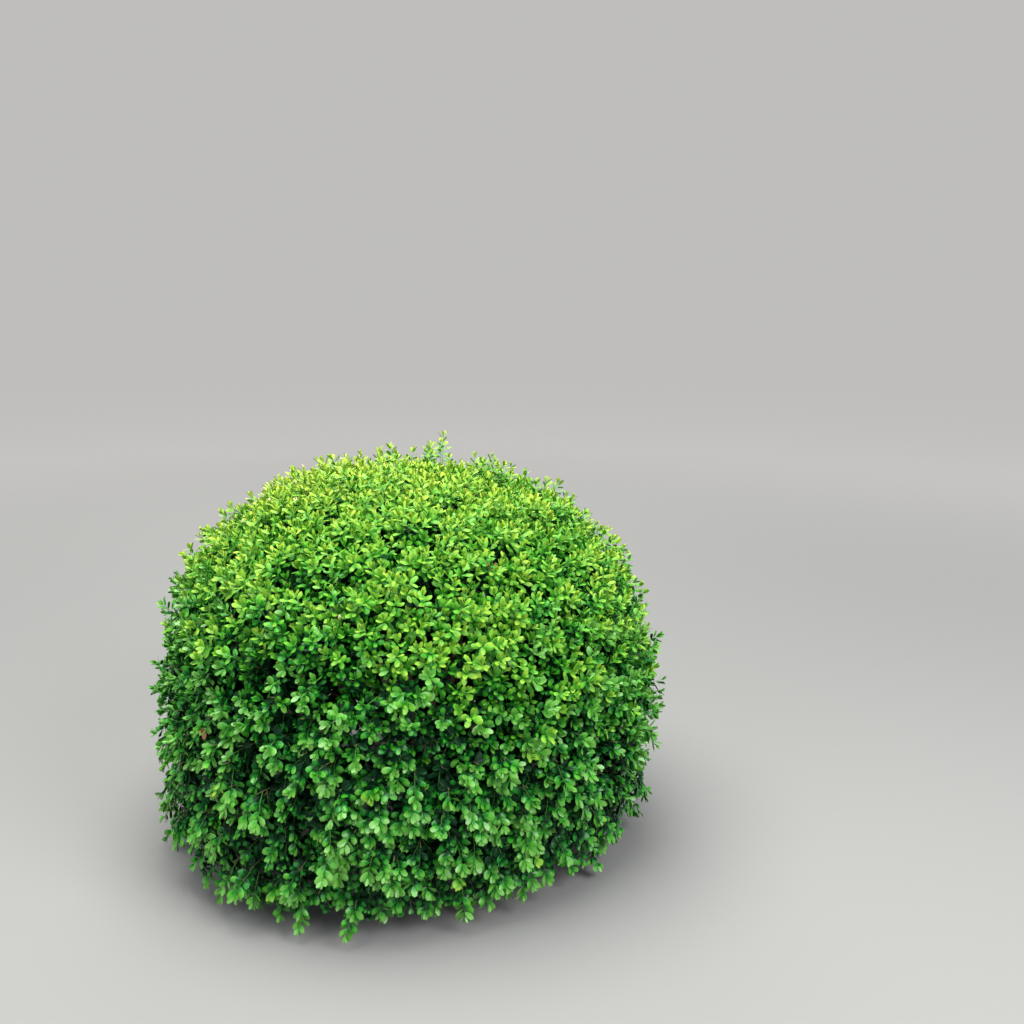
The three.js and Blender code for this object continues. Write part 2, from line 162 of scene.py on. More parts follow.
def roughen(piece, depth, size, name):
    """Bark relief: the surface is pushed in and out by a cloudy pattern."""
    clouds = bpy.data.textures.new(name, "CLOUDS")
    clouds.noise_scale = size
    clouds.noise_depth = 3
    relief = piece.modifiers.new("bark relief", "DISPLACE")
    relief.texture = clouds
    relief.texture_coords = "LOCAL"
    relief.strength = depth
    relief.mid_level = 0.5


def apply_modifiers(piece):
    bpy.context.view_layer.objects.active = piece
    for modifier in list(piece.modifiers):
        bpy.ops.object.modifier_apply(modifier=modifier.name)


bpy.ops.object.select_all(action="DESELECT")
bpy.ops.mesh.primitive_circle_add(
    vertices=STEM_SIDES, radius=stem_radius(0), fill_type="NGON", location=(0, 0, 0)
)
main_stem = bpy.context.object
main_stem.name = "trunk_with_bark"
bpy.ops.object.mode_set(mode="EDIT")
bpy.ops.mesh.select_all(action="SELECT")
height = 0.0
for ring in STEM_RINGS + [STEM_HEIGHT]:
    step = (STEM_LEAN * (ring - height) / STEM_HEIGHT, 0, ring - height)
    bpy.ops.mesh.extrude_region_move(TRANSFORM_OT_translate={"value": step})
    shrink = stem_radius(ring) / stem_radius(height)
    centre = (STEM_LEAN * ring / STEM_HEIGHT, 0, ring)
    bpy.ops.transform.resize(value=(shrink, shrink, 1), center_override=centre)
    height = ring
bpy.ops.object.mode_set(mode="OBJECT")
for ring in [0.0] + STEM_RINGS[:FLARED_RINGS]:
    for near_lobe in (True, False):
        for vertex in main_stem.data.vertices:
            wave = math.cos(BUTTRESSES * math.atan2(vertex.co.y, vertex.co.x))
            in_reach = wave > LOBE_EDGE if near_lobe else wave < -LOBE_EDGE
            vertex.select = abs(vertex.co.z - ring) < 1e-4 and in_reach
        bpy.ops.object.mode_set(mode="EDIT")
        swell = BUTTRESS_SHARE * FLARE * math.exp(-ring / FLARE_HEIGHT) / stem_radius(ring)
        spread = 1 + swell if near_lobe else 1 - swell
        centre = (STEM_LEAN * ring / STEM_HEIGHT, 0, ring)
        bpy.ops.transform.resize(value=(spread, spread, 1), center_override=centre)
        bpy.ops.object.mode_set(mode="OBJECT")
smooth = main_stem.modifiers.new("smooth", "SUBSURF")
smooth.levels = smooth.render_levels = 2
roughen(main_stem, STEM_RELIEF, STEM_RELIEF_SIZE, "stem clouds")
apply_modifiers(main_stem)
for vertex in main_stem.data.vertices:
    vertex.co.z = max(vertex.co.z, 0.0)
main_stem.data.shade_smooth()
stem_bark = bark_material("stem_bark", BARK_PALE, BARK_DARK, STEM_FISSURE_SCALE, STEM_FISSURE_DEPTH)
main_stem.data.materials.append(stem_bark)
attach(main_stem, "root")
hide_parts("main_stem")

# The main boughs: thirteen limbs that leave the head of the stem and cross the bare heart of the bush.
# One goes to the top, five to the shoulder and seven to the skirt, each to the mass of foliage it carries.
# Each is drawn as a line of joints, given its thickness by a skin, and has the stubs of lost side shoots.
HEART_HEIGHT = 0.300
GIRTH_RADIUS = 0.615
RISE = 0.606
FULLNESS = 2.35
BARE_SHARE = 0.6
ENTRY_DEPTH = 0.022
LOWEST_TILT = math.radians(116)
# Swells and dips left by hand clipping: turn, tilt and reach in degrees, and height.
SWELLS = [
    (165, 40, 24, 0.022),
    (35, 40, 22, 0.010),
    (-20, 84, 20, 0.010),
    (-114, 116, 34, 0.030),
    (-48, 116, 34, -0.034),
    (100, 70, 30, 0.010),
    (174, 38, 7, -0.036),
    (166, 27, 7, 0.012),
]
# Each tier of the crown lies from tilt to tilt in degrees, and its first mass is at a turn. Its boughs leave
# the stem at a height, with a radius at the root and one at the tip.
TIERS = [
    {
        "name": "top", "low": 0, "high": 30, "masses": 1, "turn": -90,
        "leave": 0.140, "root": 0.015, "tip": 0.008,
    },
    {
        "name": "shoulder", "low": 30, "high": 68, "masses": 5, "turn": -90,
        "leave": 0.122, "root": 0.012, "tip": 0.007,
    },
    {
        "name": "skirt", "low": 68, "high": 120, "masses": 7, "turn": -76,
        "leave": 0.084, "root": 0.010, "tip": 0.006,
    },
]
BOUGH_JOINTS = 9
BOUGH_WANDER = 0.004
LEAVING_OUTWARDS = 0.7
LEAVING_UPWARDS = 0.45
ROOT_BEND = 0.4
TIP_BEND = 0.35
START_SIZE = 0.01
SKIN_FACTOR = 1.05
STUB_JOINTS = (3, 6)
STUB_LEAN = 0.4
STUB_LENGTH = 0.012
STUB_RADIUS = 0.0035
BOUGH_RELIEF = 0.0022
BOUGH_RELIEF_SIZE = 0.012
# Painted shade: the boughs' bark is coloured darker than the stem's, for the shade inside the bush.
SHADED_BOUGH_PALE = (0.27, 0.23, 0.17, 1)
SHADED_BOUGH_DARK = (0.09, 0.07, 0.05, 1)
BOUGH_FISSURE_SCALE = 110
BOUGH_FISSURE_DEPTH = 0.0012
heart = np.array([0, 0, HEART_HEIGHT])
upwards = np.array([0, 0, 1.0])


def unit(vectors):
    return vectors / np.maximum(np.linalg.norm(vectors, axis=-1, keepdims=True), 1e-9)


def direction(tilt, turn):
    """The way from the heart at a tilt from straight up and a turn from +X."""
    across = np.sin(tilt)
    return np.stack([across * np.cos(turn), across * np.sin(turn), np.cos(tilt) + 0 * turn], axis=-1)


def direction_at(tilt_degrees, turn_degrees):
    return direction(np.array(math.radians(tilt_degrees)), np.array(math.radians(turn_degrees)))


def outline(tilt, turn):
    """How far the clipped outline lies from the heart."""
    across = np.abs(np.sin(tilt)) / GIRTH_RADIUS
    along = np.abs(np.cos(tilt)) / RISE
    reach = (across**FULLNESS + along**FULLNESS) ** (-1 / FULLNESS)
    way = direction(tilt, turn)
    for swell_turn, swell_tilt, swell_reach, swell_height in SWELLS:
        apart = np.arccos(np.clip(way @ direction_at(swell_tilt, swell_turn), -1, 1))
        reach = reach + swell_height * np.exp(-((apart / math.radians(swell_reach)) ** 2))
    return reach


def curve(a, b, c, d, share):
    """A smooth line from a to d that leaves towards b and comes in from c, at each share of its length."""
    share = share[..., None]
    rest = 1 - share
    return a * rest**3 + 3 * b * rest**2 * share + 3 * c * rest * share**2 + d * share**3


masses = []
for tier in TIERS:
    for index in range(tier["masses"]):
        middle_turn = math.radians(tier["turn"]) + index * 2 * math.pi / tier["masses"]
        low, high = math.radians(tier["low"]), min(math.radians(tier["high"]), LOWEST_TILT)
        tilt = (low + high) / 2 if tier["masses"] > 1 else 0.0
        outwards = direction(np.array(tilt), np.array(middle_turn))
        entry = float(outline(np.array(tilt), np.array(middle_turn))) * BARE_SHARE - ENTRY_DEPTH
        mass = {
            "name": f"{tier['name']}_{index + 1}" if tier["masses"] > 1 else tier["name"],
            "tier": tier,
            "outwards": outwards,
            "tip": heart + outwards * entry,
            "turn": middle_turn,
        }
        masses.append(mass)

shaded_bough_bark = bark_material("shaded_bough_bark", SHADED_BOUGH_PALE, SHADED_BOUGH_DARK, BOUGH_FISSURE_SCALE, BOUGH_FISSURE_DEPTH)
for mass in masses:
    tier = mass["tier"]
    away = np.array([math.cos(mass["turn"]), math.sin(mass["turn"]), 0])
    start = np.array([STEM_LEAN * tier["leave"] / STEM_HEIGHT, 0, tier["leave"]])
    reach = np.linalg.norm(mass["tip"] - start)
    rise = upwards if tier["masses"] == 1 else unit(away * LEAVING_OUTWARDS + upwards * LEAVING_UPWARDS)
    shares = np.linspace(0, 1, BOUGH_JOINTS)
    first_bend = start + rise * ROOT_BEND * reach
    last_bend = mass["tip"] - mass["outwards"] * TIP_BEND * reach
    line = curve(start, first_bend, last_bend, mass["tip"], shares)
    line[1:-1] += chance.normal(0, BOUGH_WANDER, (BOUGH_JOINTS - 2, 3))
    radii = list(tier["root"] + (tier["tip"] - tier["root"]) * shares)
    bpy.ops.object.select_all(action="DESELECT")
    bpy.ops.mesh.primitive_plane_add(size=START_SIZE, location=tuple(line[0]))
    bough = bpy.context.object
    bough.name = f"limb_{mass['name']}"
    bpy.ops.object.mode_set(mode="EDIT")
    bpy.ops.mesh.select_all(action="SELECT")
    bpy.ops.mesh.merge(type="CENTER")
    for before, after in zip(line[:-1], line[1:]):
        bpy.ops.mesh.extrude_region_move(TRANSFORM_OT_translate={"value": tuple(after - before)})
    for joint in STUB_JOINTS:
        bpy.ops.mesh.select_all(action="DESELECT")
        bpy.ops.object.mode_set(mode="OBJECT")
        bough.data.vertices[joint].select = True
        bpy.ops.object.mode_set(mode="EDIT")
        onwards = line[joint + 1] - line[joint]
        stub = unit(np.cross(onwards, chance.normal(0, 1, 3)) + STUB_LEAN * onwards)
        step = tuple(stub * (radii[joint] + STUB_LENGTH))
        bpy.ops.mesh.extrude_region_move(TRANSFORM_OT_translate={"value": step})
        radii.append(STUB_RADIUS)
    bpy.ops.object.mode_set(mode="OBJECT")
    bpy.ops.object.transform_apply(location=True, rotation=True, scale=True)
    skin = bough.modifiers.new("thickness", "SKIN")
    skin.use_smooth_shade = True
    if not bough.data.skin_vertices:
        bpy.ops.mesh.customdata_skin_add()
    for vertex, radius in zip(bough.data.skin_vertices[0].data, radii):
        vertex.radius = (radius * SKIN_FACTOR, radius * SKIN_FACTOR)
    bough.data.skin_vertices[0].data[0].use_root = True
    smooth = bough.modifiers.new("smooth", "SUBSURF")
    smooth.levels = smooth.render_levels = 2
    roughen(bough, BOUGH_RELIEF, BOUGH_RELIEF_SIZE, f"clouds_{mass['name']}")
    apply_modifiers(bough)
    bough.data.shade_smooth()
    bough.data.materials.clear()
    bough.data.materials.append(shaded_bough_bark)
    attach(bough, "root")
    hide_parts(f"bough_{mass['name']}")

# The branches and twigs of each mass: from the tip of its bough a short leader forks into branches, each
# branch into leaders that end in tufts, and each tuft into leafy shoots that clipping keeps short.
# Young shoots are green and four-angled, older ones pale tan, and the branches grey-brown.
TUFT_SPACING = 0.052
TUFT_CANDIDATES = 9000
SHOOT_SPACING = 0.0188
HANGING_SHOOT_SPACING = 0.0245
SHOOT_CANDIDATES = 60000
SPACING_TILTS = [54, 84]
SPOT_TILT_LIMIT = math.radians(121)
LOWEST_SPOT = 0.016
BLOCK = 1000
SEAM_SWING = math.radians(5)


def spread_spots(spacing, skirt_spacing, candidates):
    """Tilt, turn and place of scattered spots on the crown, each clear of the others by its own spacing."""
    tilt = np.arccos(chance.uniform(math.cos(SPOT_TILT_LIMIT), 1, candidates))
    turn = chance.uniform(-math.pi, math.pi, candidates)
    place = heart + direction(tilt, turn) * outline(tilt, turn)[:, None]
    taken = {}
    kept = []
    cells = np.floor(place / max(spacing, skirt_spacing)).astype(int)
    around = [(x, y, z) for x in (-1, 0, 1) for y in (-1, 0, 1) for z in (-1, 0, 1)]
    closest = (np.interp(np.degrees(tilt), SPACING_TILTS, [spacing, skirt_spacing]) ** 2).tolist()
    points = place.tolist()
    for i, (x, y, z) in enumerate(cells.tolist()):
        if points[i][2] < LOWEST_SPOT:
            continue
        px, py, pz = points[i]
        clear = True
        for dx, dy, dz in around:
            for qx, qy, qz in taken.get((x + dx, y + dy, z + dz), ()):
                if (px - qx) ** 2 + (py - qy) ** 2 + (pz - qz) ** 2 < closest[i]:
                    clear = False
                    break
            if not clear:
                break
        if clear:
            taken.setdefault((x, y, z), []).append((px, py, pz))
            kept.append(i)
    return tilt[kept], turn[kept], place[kept]


def nearest(points, targets):
    """The index of the nearest target to each point, and how far it is."""
    index = np.empty(len(points), int)
    apart = np.empty(len(points))
    for first in range(0, len(points), BLOCK):
        block = slice(first, first + BLOCK)
        gaps = np.linalg.norm(points[block][:, None] - targets[None], axis=2)
        index[block] = gaps.argmin(1)
        apart[block] = gaps.min(1)
    return index, apart


def mass_of(tilt, turn):
    """The number of the mass whose share of the crown holds each spot. The seams between masses wander."""
    tier_number = np.zeros(len(tilt), int)
    for tier in TIERS[:2]:
        seam = SEAM_SWING * np.sin(4 * turn + 5 * math.radians(tier["high"]))
        tier_number = tier_number + (tilt - seam > math.radians(tier["high"]))
    number = np.zeros(len(tilt), int)
    first = 0
    for rank, tier in enumerate(TIERS):
        width = 2 * math.pi / tier["masses"]
        edges = math.radians(tier["turn"]) + (np.arange(tier["masses"]) - 0.5) * width
        seams = edges[None] + SEAM_SWING * np.sin(3 * tilt[:, None] + 3 * edges[None])
        sector = np.mod(turn[:, None] - seams, 2 * math.pi).argmin(1)
        number = np.where(tier_number == rank, first + sector, number)
        first += tier["masses"]
    return number


tuft_tilt, tuft_turn, tuft_place = spread_spots(TUFT_SPACING, TUFT_SPACING, TUFT_CANDIDATES)
shoot_tilt, shoot_turn, shoot_place = spread_spots(SHOOT_SPACING, HANGING_SHOOT_SPACING, SHOOT_CANDIDATES)
tuft_of, from_tuft = nearest(shoot_place, tuft_place)
tuft_mass = mass_of(tuft_tilt, tuft_turn)
tuft_out = direction(tuft_tilt, tuft_turn)
shoot_out = direction(shoot_tilt, shoot_turn)
tilt_degrees = np.degrees(shoot_tilt)
shoots = len(shoot_tilt)
tufts = len(tuft_tilt)

# Shoots droop more the lower they grow, and on the front they droop from higher up than elsewhere.
FRONT_TURN = math.radians(-104)
FRONT_DROOP = 18
DROOP_START = 60
DROOP_REACH = 28


def ramp(value, start, reach):
    """0 up to a start, 1 from a reach beyond it, and even between."""
    return np.clip((value - start) / reach, 0, 1)


def graded(value, steps):
    """What a list of pairs gives for a value, with even slopes between them."""
    return np.interp(value, *zip(*steps))


def skirted(sizes, lowness):
    """A size that changes towards the skirt, from its value over the top and what the skirt adds to it."""
    over_top, added = sizes
    return over_top + added * lowness


def droop_tilt(tilt, turn):
    """The tilt in degrees that says how a spot's shoots grow."""
    away_from_front = np.clip(1 - np.cos(turn - FRONT_TURN), 0, 1)
    return np.degrees(tilt) - FRONT_DROOP * away_from_front


# How low a spot lies on the crown: 0 over the top and shoulder, 1 in the skirt.
shoot_droop = droop_tilt(shoot_tilt, shoot_turn)
lowness = ramp(shoot_droop, DROOP_START, DROOP_REACH)
tuft_lowness = ramp(droop_tilt(tuft_tilt, tuft_turn), DROOP_START, DROOP_REACH)

# Tufts stand out or back from the clipped outline, and are domed, so that dark valleys lie between them.
TUFT_UNEVENNESS = (0.007, 0.005)
TUFT_LIFT_LIMITS = (-0.020, 0.012)
DOME_DEPTH = (0.020, 0.008)
DOME_RADIUS = 0.034
SHOOT_UNEVENNESS = 0.005
tuft_lift = np.clip(chance.normal(0, skirted(TUFT_UNEVENNESS, tuft_lowness)), *TUFT_LIFT_LIMITS)
dome = skirted(DOME_DEPTH, lowness) * (from_tuft / DOME_RADIUS) ** 2
lift = tuft_lift[tuft_of] - dome + chance.normal(0, SHOOT_UNEVENNESS, shoots)

# Between the shoots that reach the outline, shorter ones stay back in their shade.
BACK_ODDS = [(15, 0.20), (45, 0.39)]
LEAST_BACK = (0.010, 0.008)
MOST_BACK = (0.022, 0.020)
is_back = chance.uniform(0, 1, shoots) < graded(tilt_degrees, BACK_ODDS)
lift = lift - is_back * chance.uniform(skirted(LEAST_BACK, lowness), skirted(MOST_BACK, lowness))

# Hollows where a few shoots are missing show the dark leaves inside. Most lie low, on the left of the front.
HOLLOW_SPACING = 0.085
HOLLOW_CANDIDATES = 2500
HOLLOW_ODDS = 0.13
LOW_HOLLOW_ODDS = 0.70
LEFT_FRONT_HOLLOW_ODDS = 0.5
HOLLOW_SIZES = (0.018, 0.048)
HOLLOW_EDGE = 1.25
HOLLOW_DEPTH = 0.055
SHOOT_LIFT_LIMITS = (-0.050, 0.013)
left_front = direction_at(76, -132)
hollow_tilt, _, hollow_place = spread_spots(HOLLOW_SPACING, HOLLOW_SPACING, HOLLOW_CANDIDATES)
hollow_odds = HOLLOW_ODDS + LOW_HOLLOW_ODDS * ramp(np.degrees(hollow_tilt), 52, 25)
hollow_odds = hollow_odds + LEFT_FRONT_HOLLOW_ODDS * ramp(unit(hollow_place - heart) @ left_front, 0.72, 0.20)
hollows = hollow_place[chance.uniform(0, 1, len(hollow_place)) < hollow_odds]
hollow_size = chance.uniform(*HOLLOW_SIZES, len(hollows))
hollow_of, from_hollow = nearest(shoot_place, hollows)
sunk = np.clip(HOLLOW_EDGE - from_hollow / hollow_size[hollow_of], 0, 1)
lift = np.clip(lift, *SHOOT_LIFT_LIMITS) - HOLLOW_DEPTH * sunk

# A few long shoots have grown on since the clipping, nearly all of them on the top and the shoulder.
# The longest stand in three small sprays where the solids have them: tilt and turn in degrees, and height.
LONG_ODDS = 0.060
LOW_LONG_ODDS = 0.006
LONG_LIFTS = (0.010, 0.030)
SIDEWAYS_LIFT_LOSS = 0.016
LONG_SPRAYS = [(10, 58, 0.050), (19, 24, 0.016), (6, 150, 0.026)]
SPRAY_SHARES = (1, 0.75, 0.5, 0.6)
SHOOT_TIP_DEPTH = 0.015
is_long = chance.uniform(0, 1, shoots) < LONG_ODDS * (1 - lowness) + LOW_LONG_ODDS
highest_lift = LONG_LIFTS[1] - SIDEWAYS_LIFT_LOSS * np.sin(shoot_tilt) ** 4
long_lift = chance.uniform(LONG_LIFTS[0], highest_lift, shoots)
lift = np.where(is_long, long_lift, lift)
for spray_tilt, spray_turn, spray_height in LONG_SPRAYS:
    closeness = shoot_out @ direction_at(spray_tilt, spray_turn)
    for number, share in zip(np.argsort(-closeness), SPRAY_SHARES):
        is_long[number] = True
        lift[number] = (spray_height + SHOOT_TIP_DEPTH) * share
is_back = is_back & ~is_long

# Each shoot's tip points the way it grows: up on the top, outwards at the girth, down in the skirt.
GROWTH_UP = [(0, 0.9), (46, 1.30), (62, 1.00), (74, 0.20), (86, -0.65), (98, -1.30), (108, -1.6), (118, -1.4)]
TUFT_RISE_SPREAD = 0.25
SHOOT_RISE_SPREAD = 0.15
TUFT_SWAY = 0.24
SHOOT_SWAY = 0.17
LONG_SHOOT_LEAN = 0.4
LOWEST_TIP = 0.012
growth_up = graded(shoot_droop, GROWTH_UP)
rise_spread = chance.normal(0, TUFT_RISE_SPREAD, tufts)[tuft_of] + chance.normal(0, SHOOT_RISE_SPREAD, shoots)
growth_up = growth_up + rise_spread * np.sin(shoot_tilt)
growth_up = growth_up * (1 - LONG_SHOOT_LEAN * is_long * (1 - lowness))
sway = chance.normal(0, TUFT_SWAY, (tufts, 3))[tuft_of] + chance.normal(0, SHOOT_SWAY, (shoots, 3))
growth = unit(shoot_out + upwards * growth_up[:, None] + sway)
shoot_tip = heart + shoot_out * (outline(shoot_tilt, shoot_turn) - SHOOT_TIP_DEPTH + lift)[:, None]
shoot_tip[:, 2] = np.maximum(shoot_tip[:, 2], LOWEST_TIP)

# Each tuft sits on a leader. Low down, the leaders come in from above, so that the shoots hang from them.
TUFT_DEPTH = 0.108
LEADER_TOP_DEPTH = 0.050
HANGING_LEADER_TOP_DEPTH = 0.040
ARCH_HEIGHT = 0.048
ARCH_FOOT_SHARE = 0.8
LOWEST_TUFT_FOOT = 0.040
LOWEST_LEADER_TOP = 0.030
tuft_reach = outline(tuft_tilt, tuft_turn) + tuft_lift
arch = ARCH_HEIGHT * tuft_lowness[:, None] * upwards
leader_depth = LEADER_TOP_DEPTH + (HANGING_LEADER_TOP_DEPTH - LEADER_TOP_DEPTH) * tuft_lowness
tuft_foot = heart + tuft_out * (tuft_reach - TUFT_DEPTH)[:, None] + ARCH_FOOT_SHARE * arch
leader_top = heart + tuft_out * (tuft_reach - leader_depth)[:, None] + arch
tuft_foot[:, 2] = np.maximum(tuft_foot[:, 2], LOWEST_TUFT_FOOT)
leader_top[:, 2] = np.maximum(leader_top[:, 2], LOWEST_LEADER_TOP)

# The shoots nearest the middle of a tuft leave the leader highest up. One whose tip stands nearly over its
# foot starts lower on the leader, so that it has room for its leaves.
HIGHEST_CLIMB = 0.95
CLIMB_LOSS = 0.75
TUFT_RADIUS = 0.036
CLIMB_SPREAD = 0.12
CLIMB_LIMITS = (0.03, 0.97)
SHORTEST_SHOOT = 0.042
LOW_CLIMB = 0.1
TOWARDS_TIP = 0.8
TOWARDS_OUTSIDE = 0.5
FOOT_BEND = 0.36
END_BEND = 0.34
climb = HIGHEST_CLIMB - CLIMB_LOSS * from_tuft / TUFT_RADIUS + chance.normal(0, CLIMB_SPREAD, shoots)
climb = np.clip(climb, *CLIMB_LIMITS)[:, None]
shoot_foot = tuft_foot[tuft_of] * (1 - climb) + leader_top[tuft_of] * climb
length = np.linalg.norm(shoot_tip - shoot_foot, axis=1)
short = length < SHORTEST_SHOOT
shoot_foot[short] = (tuft_foot[tuft_of] * (1 - LOW_CLIMB) + leader_top[tuft_of] * LOW_CLIMB)[short]
length = np.linalg.norm(shoot_tip - shoot_foot, axis=1)
leaving = unit(unit(shoot_tip - shoot_foot) * TOWARDS_TIP + shoot_out * TOWARDS_OUTSIDE)
bend_in = shoot_foot + leaving * (FOOT_BEND * length)[:, None]
bend_out = shoot_tip - growth * (END_BEND * length)[:, None]


def shoot_at(share):
    """Points along every shoot, for shares of its length given shoot by shoot."""
    return curve(shoot_foot[:, None], bend_in[:, None], bend_out[:, None], shoot_tip[:, None], share)


# The tufts of a mass are gathered round evenly spread branches, each of which ends inside its own tufts.
TUFTS_PER_BRANCH = 5.5
FEWEST_BRANCHES = 8
EVENING_ROUNDS = 6
BRANCH_DEPTH = 0.165
LOWEST_BRANCH = 0.045
FORK_REACH = 0.03
BRANCH_BEND = 0.35
BRANCH_JOINTS = 7
LEADER_FOOT_BEND = 0.3
LEADER_TIP_BEND = 0.4
LEADER_JOINTS = 5
SHOOT_JOINTS = np.array([0, 0.3, 0.65, 1.0])
SOIL_CLEARANCE = 0.004
branch_lines, branch_mass, leader_lines = [], [], []
for number, mass in enumerate(masses):
    inside = np.flatnonzero(tuft_mass == number)
    branches = max(FEWEST_BRANCHES, round(len(inside) / TUFTS_PER_BRANCH))
    centres = [tuft_out[inside[0]]]
    for _ in range(branches - 1):
        gaps = np.min(1 - tuft_out[inside] @ np.array(centres).T, axis=1)
        centres.append(tuft_out[inside[int(gaps.argmax())]])
    centres = np.array(centres)
    for _ in range(EVENING_ROUNDS):
        owner = (tuft_out[inside] @ centres.T).argmax(1)
        for branch in range(branches):
            if (owner == branch).any():
                centres[branch] = unit(tuft_out[inside][owner == branch].mean(0))
    owner = (tuft_out[inside] @ centres.T).argmax(1)
    tilt = np.arccos(np.clip(centres[:, 2], -1, 1))
    turn = np.arctan2(centres[:, 1], centres[:, 0])
    ends = heart + centres * (outline(tilt, turn) - BRANCH_DEPTH)[:, None]
    ends[:, 2] = np.maximum(ends[:, 2], LOWEST_BRANCH)
    fork = mass["tip"] + mass["outwards"] * FORK_REACH
    forks = np.broadcast_to(fork, ends.shape)
    span = np.linalg.norm(ends - fork, axis=1)[:, None]
    shares = np.broadcast_to(np.linspace(0, 1, BRANCH_JOINTS), (branches, BRANCH_JOINTS))
    first_bend = fork + mass["outwards"] * BRANCH_BEND * span
    last_bend = ends - centres * BRANCH_BEND * span
    lines = curve(forks[:, None], first_bend[:, None], last_bend[:, None], ends[:, None], shares)
    lines[:, 0] = mass["tip"]
    branch_lines.append(lines)
    branch_mass.append(np.full(branches, number))
    joint = ends[owner]
    span = np.linalg.norm(tuft_foot[inside] - joint, axis=1)[:, None]
    shares = np.broadcast_to(np.linspace(0, 1, LEADER_JOINTS), (len(inside), LEADER_JOINTS))
    first_bend = joint + centres[owner] * LEADER_FOOT_BEND * span
    last_bend = tuft_foot[inside] - tuft_out[inside] * LEADER_TIP_BEND * span
    lines = curve(joint[:, None], first_bend[:, None], last_bend[:, None], tuft_foot[inside][:, None], shares)
    leader_lines.append(np.concatenate([lines, leader_top[inside][:, None]], axis=1))
branch_lines = np.concatenate(branch_lines)
branch_mass = np.concatenate(branch_mass)
shoot_lines = shoot_at(np.broadcast_to(SHOOT_JOINTS, (shoots, len(SHOOT_JOINTS))))
shoot_lines[..., 2] = np.maximum(shoot_lines[..., 2], SOIL_CLEARANCE)


def tubes(lines, root_radius, tip_radius, sides):
    """Tapering twigs along lines of the same number of joints, closed at both ends: corners and faces."""
    count, joints = lines.shape[:2]
    along = np.empty_like(lines)
    along[:, 1:-1] = lines[:, 2:] - lines[:, :-2]
    along[:, 0] = lines[:, 1] - lines[:, 0]
    along[:, -1] = lines[:, -1] - lines[:, -2]
    along = unit(along)
    reference = unit(np.cross(lines[:, -1] - lines[:, 0], chance.normal(0, 1, (count, 3))))
    across = unit(np.cross(along, reference[:, None]))
    aside = np.cross(along, across)
    share = np.linspace(0, 1, joints)[:, None]
    radius = root_radius * (1 - share) + tip_radius * share
    corners = []
    for side in range(sides):
        angle = 2 * math.pi * side / sides
        corners.append(lines + (across * math.cos(angle) + aside * math.sin(angle)) * radius)
    corners = np.stack(corners, axis=2).reshape(-1, 3)
    ring = np.arange(sides)
    next_ring = (ring + 1) % sides
    step = np.arange(joints - 1)[:, None] * sides
    walls = [step + ring, step + next_ring, step + sides + next_ring, step + sides + ring]
    walls = np.stack(walls, axis=-1).reshape(-1, 4)
    caps = []
    for i in range(1, sides - 1):
        caps.append([0, i + 1, i])
        last = (joints - 1) * sides
        caps.append([last, last + i, last + i + 1])
    triangles = np.concatenate([walls[:, [0, 1, 2]], walls[:, [0, 2, 3]], np.array(caps)])
    faces = (np.arange(count) * joints * sides)[:, None, None] + triangles[None]
    return corners, faces


def plain_material(name, colour, roughness, specular):
    material = bpy.data.materials.new(name)
    material.use_nodes = True
    shader = material.node_tree.nodes["Principled BSDF"]
    shader.inputs["Base Color"].default_value = (*colour, 1)
    shader.inputs["Roughness"].default_value = roughness
    shader.inputs["Specular IOR Level"].default_value = specular
    material.diffuse_color = (*colour, 1)
    return material


def joined_mesh(name, parts, finishes):
    """One piece of many small shapes. Each part is corners, triangles and the finish of each triangle."""
    first = 0
    corners, triangles, finish = [], [], []
    for part_corners, part_triangles, part_finish in parts:
        corners.append(part_corners.reshape(-1, 3))
        triangles.append(part_triangles.reshape(-1, 3) + first)
        finish.append(part_finish.reshape(-1))
        first += len(corners[-1])
    corners, triangles, finish = np.concatenate(corners), np.concatenate(triangles), np.concatenate(finish)
    mesh = bpy.data.meshes.new(name)
    mesh.vertices.add(len(corners))
    mesh.vertices.foreach_set("co", corners.astype(np.float32).ravel())
    mesh.loops.add(3 * len(triangles))
    mesh.loops.foreach_set("vertex_index", triangles.astype(np.int32).ravel())
    mesh.polygons.add(len(triangles))
    mesh.polygons.foreach_set("loop_start", np.arange(0, 3 * len(triangles), 3, dtype=np.int32))
    mesh.polygons.foreach_set("material_index", finish.astype(np.int32))
    mesh.polygons.foreach_set("use_smooth", np.ones(len(triangles), bool))
    for material in finishes:
        mesh.materials.append(material)
    mesh.update(calc_edges=True)
    piece = bpy.data.objects.new(name, mesh)
    bpy.context.scene.collection.objects.link(piece)
    return piece


